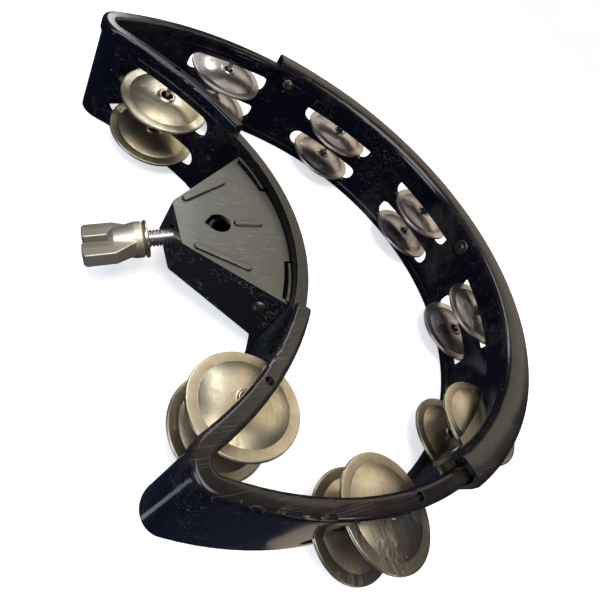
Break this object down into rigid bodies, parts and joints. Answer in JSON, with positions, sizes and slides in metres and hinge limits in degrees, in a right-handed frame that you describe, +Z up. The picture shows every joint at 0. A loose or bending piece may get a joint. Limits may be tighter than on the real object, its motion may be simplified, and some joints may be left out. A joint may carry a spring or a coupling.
{
  "type": "tambourine",
  "caption": "Crescent tambourine: a black band with two tiers of paired metal jingles all round, and an inner grip carrying a steel rod clamp closed by a wing nut",
  "frame": {"origin": "middle of the base's bounding box, on the resting plane", "axes": "+X from the clamp's wing nut across the crescent to the outer arc, +Y across the horns to the left horn, +Z up from the resting plane"},
  "size_m": [0.239, 0.2992, 0.0554],
  "materials": {
    "shell_plastic": "gloss black, finely scratched",
    "hood_plastic": "gloss black, finely scratched",
    "grip_plastic": "gloss black",
    "housing_paint": "black enamel, satin on top",
    "rivet_steel": "dull plated steel",
    "bolt_zinc": "bright zinc",
    "washer_steel": "bright, slightly yellow",
    "nut_cast": "satin die-cast, champagne tone",
    "pin_steel": "plain wire",
    "jingle_metal": "nickel and brass tones, lightly brushed"
  },
  "bodies": {
    "frame": {"main_shell": "shell_plastic", "outer_hood": "hood_plastic", "inner_grip": "grip_plastic", "clamp_housing": "housing_paint", "hood_rivets": "rivet_steel", "middle_rivet_washer": "rivet_steel", "housing_rivets": "rivet_steel", "grip_rivets": "rivet_steel", "jingle_pin_1": "pin_steel", "jingle_pin_2": "pin_steel", "jingle_pin_3": "pin_steel", "jingle_pin_4": "pin_steel", "jingle_pin_5": "pin_steel", "jingle_pin_6": "pin_steel", "jingle_pin_7": "pin_steel", "jingle_pin_8": "pin_steel"},
    "eye_bolt": {"eye_bolt": "bolt_zinc"},
    "nut_washer": {"nut_washer": "washer_steel"},
    "wing_nut": {"wing_nut": "nut_cast"},
    "jingle_1_top_under": {"jingle_1_top_under": "jingle_metal"},
    "jingle_1_top_over": {"jingle_1_top_over": "jingle_metal"},
    "jingle_1_bottom_under": {"jingle_1_bottom_under": "jingle_metal"},
    "jingle_1_bottom_over": {"jingle_1_bottom_over": "jingle_metal"},
    "jingle_2_top_under": {"jingle_2_top_under": "jingle_metal"},
    "jingle_2_top_over": {"jingle_2_top_over": "jingle_metal"},
    "jingle_2_bottom_under": {"jingle_2_bottom_under": "jingle_metal"},
    "jingle_2_bottom_over": {"jingle_2_bottom_over": "jingle_metal"},
    "jingle_3_top_under": {"jingle_3_top_under": "jingle_metal"},
    "jingle_3_top_over": {"jingle_3_top_over": "jingle_metal"},
    "jingle_3_bottom_under": {"jingle_3_bottom_under": "jingle_metal"},
    "jingle_3_bottom_over": {"jingle_3_bottom_over": "jingle_metal"},
    "jingle_4_top_under": {"jingle_4_top_under": "jingle_metal"},
    "jingle_4_top_over": {"jingle_4_top_over": "jingle_metal"},
    "jingle_4_bottom_under": {"jingle_4_bottom_under": "jingle_metal"},
    "jingle_4_bottom_over": {"jingle_4_bottom_over": "jingle_metal"},
    "jingle_5_top_under": {"jingle_5_top_under": "jingle_metal"},
    "jingle_5_top_over": {"jingle_5_top_over": "jingle_metal"},
    "jingle_5_bottom_under": {"jingle_5_bottom_under": "jingle_metal"},
    "jingle_5_bottom_over": {"jingle_5_bottom_over": "jingle_metal"},
    "jingle_6_top_under": {"jingle_6_top_under": "jingle_metal"},
    "jingle_6_top_over": {"jingle_6_top_over": "jingle_metal"},
    "jingle_6_bottom_under": {"jingle_6_bottom_under": "jingle_metal"},
    "jingle_6_bottom_over": {"jingle_6_bottom_over": "jingle_metal"},
    "jingle_7_top_under": {"jingle_7_top_under": "jingle_metal"},
    "jingle_7_top_over": {"jingle_7_top_over": "jingle_metal"},
    "jingle_7_bottom_under": {"jingle_7_bottom_under": "jingle_metal"},
    "jingle_7_bottom_over": {"jingle_7_bottom_over": "jingle_metal"},
    "jingle_8_top_under": {"jingle_8_top_under": "jingle_metal"},
    "jingle_8_top_over": {"jingle_8_top_over": "jingle_metal"},
    "jingle_8_bottom_under": {"jingle_8_bottom_under": "jingle_metal"},
    "jingle_8_bottom_over": {"jingle_8_bottom_over": "jingle_metal"}
  },
  "joints": [
    {"name": "clamp_slide", "type": "slide", "parent": "frame", "child": "eye_bolt", "axis": [-0.9397, 0, -0.342], "range_m": [0, 0.0065]},
    {"name": "nut_travel", "type": "slide", "parent": "eye_bolt", "child": "nut_washer", "axis": [0.9397, 0, 0.342], "range_m": [-0.004, 0.006]},
    {"name": "nut_spin", "type": "hinge", "parent": "nut_washer", "child": "wing_nut", "pos_m": [-0.09458, 0, 0.01788], "axis": [0.9397, 0, 0.342], "range_deg": [-1000, 1500]},
    {"name": "slide_1_top_under", "type": "slide", "parent": "frame", "child": "jingle_1_top_under", "axis": [0, 0, 1], "range_m": [0, 0.0013]},
    {"name": "slide_1_top_over", "type": "slide", "parent": "jingle_1_top_under", "child": "jingle_1_top_over", "axis": [0, 0, 1], "range_m": [0, 0.0013]},
    {"name": "slide_1_bottom_under", "type": "slide", "parent": "frame", "child": "jingle_1_bottom_under", "axis": [0, 0, 1], "range_m": [0, 0.0013]},
    {"name": "slide_1_bottom_over", "type": "slide", "parent": "jingle_1_bottom_under", "child": "jingle_1_bottom_over", "axis": [0, 0, 1], "range_m": [0, 0.0013]},
    {"name": "slide_2_top_under", "type": "slide", "parent": "frame", "child": "jingle_2_top_under", "axis": [0, 0, 1], "range_m": [0, 0.0013]},
    {"name": "slide_2_top_over", "type": "slide", "parent": "jingle_2_top_under", "child": "jingle_2_top_over", "axis": [0, 0, 1], "range_m": [0, 0.0013]},
    {"name": "slide_2_bottom_under", "type": "slide", "parent": "frame", "child": "jingle_2_bottom_under", "axis": [0, 0, 1], "range_m": [0, 0.0013]},
    {"name": "slide_2_bottom_over", "type": "slide", "parent": "jingle_2_bottom_under", "child": "jingle_2_bottom_over", "axis": [0, 0, 1], "range_m": [0, 0.0013]},
    {"name": "slide_3_top_under", "type": "slide", "parent": "frame", "child": "jingle_3_top_under", "axis": [0, 0, 1], "range_m": [0, 0.0013]},
    {"name": "slide_3_top_over", "type": "slide", "parent": "jingle_3_top_under", "child": "jingle_3_top_over", "axis": [0, 0, 1], "range_m": [0, 0.0013]},
    {"name": "slide_3_bottom_under", "type": "slide", "parent": "frame", "child": "jingle_3_bottom_under", "axis": [0, 0, 1], "range_m": [0, 0.0013]},
    {"name": "slide_3_bottom_over", "type": "slide", "parent": "jingle_3_bottom_under", "child": "jingle_3_bottom_over", "axis": [0, 0, 1], "range_m": [0, 0.0013]},
    {"name": "slide_4_top_under", "type": "slide", "parent": "frame", "child": "jingle_4_top_under", "axis": [0, 0, 1], "range_m": [0, 0.0013]},
    {"name": "slide_4_top_over", "type": "slide", "parent": "jingle_4_top_under", "child": "jingle_4_top_over", "axis": [0, 0, 1], "range_m": [0, 0.0013]},
    {"name": "slide_4_bottom_under", "type": "slide", "parent": "frame", "child": "jingle_4_bottom_under", "axis": [0, 0, 1], "range_m": [0, 0.0013]},
    {"name": "slide_4_bottom_over", "type": "slide", "parent": "jingle_4_bottom_under", "child": "jingle_4_bottom_over", "axis": [0, 0, 1], "range_m": [0, 0.0013]},
    {"name": "slide_5_top_under", "type": "slide", "parent": "frame", "child": "jingle_5_top_under", "axis": [0, 0, 1], "range_m": [0, 0.0013]},
    {"name": "slide_5_top_over", "type": "slide", "parent": "jingle_5_top_under", "child": "jingle_5_top_over", "axis": [0, 0, 1], "range_m": [0, 0.0013]},
    {"name": "slide_5_bottom_under", "type": "slide", "parent": "frame", "child": "jingle_5_bottom_under", "axis": [0, 0, 1], "range_m": [0, 0.0013]},
    {"name": "slide_5_bottom_over", "type": "slide", "parent": "jingle_5_bottom_under", "child": "jingle_5_bottom_over", "axis": [0, 0, 1], "range_m": [0, 0.0013]},
    {"name": "slide_6_top_under", "type": "slide", "parent": "frame", "child": "jingle_6_top_under", "axis": [0, 0, 1], "range_m": [0, 0.0013]},
    {"name": "slide_6_top_over", "type": "slide", "parent": "jingle_6_top_under", "child": "jingle_6_top_over", "axis": [0, 0, 1], "range_m": [0, 0.0013]},
    {"name": "slide_6_bottom_under", "type": "slide", "parent": "frame", "child": "jingle_6_bottom_under", "axis": [0, 0, 1], "range_m": [0, 0.0013]},
    {"name": "slide_6_bottom_over", "type": "slide", "parent": "jingle_6_bottom_under", "child": "jingle_6_bottom_over", "axis": [0, 0, 1], "range_m": [0, 0.0013]},
    {"name": "slide_7_top_under", "type": "slide", "parent": "frame", "child": "jingle_7_top_under", "axis": [0, 0, 1], "range_m": [0, 0.0013]},
    {"name": "slide_7_top_over", "type": "slide", "parent": "jingle_7_top_under", "child": "jingle_7_top_over", "axis": [0, 0, 1], "range_m": [0, 0.0013]},
    {"name": "slide_7_bottom_under", "type": "slide", "parent": "frame", "child": "jingle_7_bottom_under", "axis": [0, 0, 1], "range_m": [0, 0.0013]},
    {"name": "slide_7_bottom_over", "type": "slide", "parent": "jingle_7_bottom_under", "child": "jingle_7_bottom_over", "axis": [0, 0, 1], "range_m": [0, 0.0013]},
    {"name": "slide_8_top_under", "type": "slide", "parent": "frame", "child": "jingle_8_top_under", "axis": [0, 0, 1], "range_m": [0, 0.0013]},
    {"name": "slide_8_top_over", "type": "slide", "parent": "jingle_8_top_under", "child": "jingle_8_top_over", "axis": [0, 0, 1], "range_m": [0, 0.0013]},
    {"name": "slide_8_bottom_under", "type": "slide", "parent": "frame", "child": "jingle_8_bottom_under", "axis": [0, 0, 1], "range_m": [0, 0.0013]},
    {"name": "slide_8_bottom_over", "type": "slide", "parent": "jingle_8_bottom_under", "child": "jingle_8_bottom_over", "axis": [0, 0, 1], "range_m": [0, 0.0013]}
  ],
  "couplings": [
    {"joint": "nut_travel", "follows": "nut_spin", "m_per_rad": 0.00022457}
  ]
}
